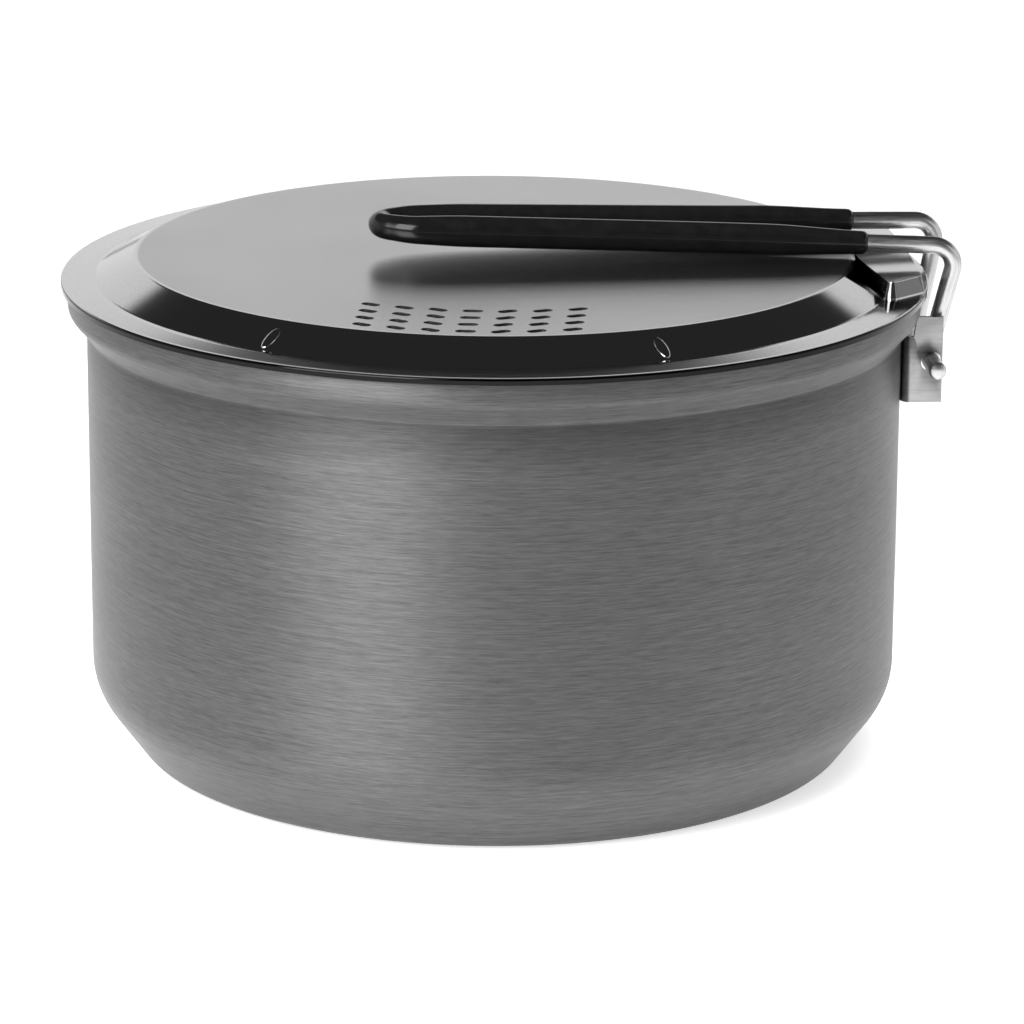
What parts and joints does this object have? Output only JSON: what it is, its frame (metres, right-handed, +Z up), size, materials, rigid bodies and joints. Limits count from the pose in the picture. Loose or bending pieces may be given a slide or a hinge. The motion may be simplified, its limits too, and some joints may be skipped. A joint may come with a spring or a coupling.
{
  "type": "camping cook pot",
  "caption": "Round camping cook pot with a flared collar, a pressed strainer lid and a folding wire handle with a grip sleeve that swings over the lid.",
  "frame": {"origin": "centre of the pot's flat base", "axes": "+Z up the pot's axis, +X towards the handle bracket, -Y towards the strainer slots"},
  "size_m": [0.1778, 0.172, 0.1091],
  "materials": {
    "anodised_shell": "hard anodised dark grey, brushed round the pot",
    "lid_steel": "fine satin top with a polished bevel and flange",
    "bracket_steel": "mill finish stainless sheet",
    "rivet_metal": "plain, lightly burnished",
    "wire_steel": "polished drawn stainless wire",
    "grip_coating": "glossy black dip coating"
  },
  "bodies": {
    "pot": {"pot_body": "anodised_shell", "handle_bracket": "bracket_steel", "rivet_left": "rivet_metal", "rivet_right": "rivet_metal"},
    "lid": {"lid": "lid_steel"},
    "handle": {"handle_wire": "wire_steel", "grip_sleeve": "grip_coating"}
  },
  "joints": [
    {"name": "lid_turn", "type": "hinge", "parent": "pot", "child": "lid", "pos_m": [0, 0, 0.0955], "axis": [0, 0, 1], "continuous": true},
    {"name": "handle_swing", "type": "hinge", "parent": "pot", "child": "handle", "pos_m": [0.086, 0, 0.0797], "axis": [0, 1, 0], "range_deg": [0, 178]}
  ]
}
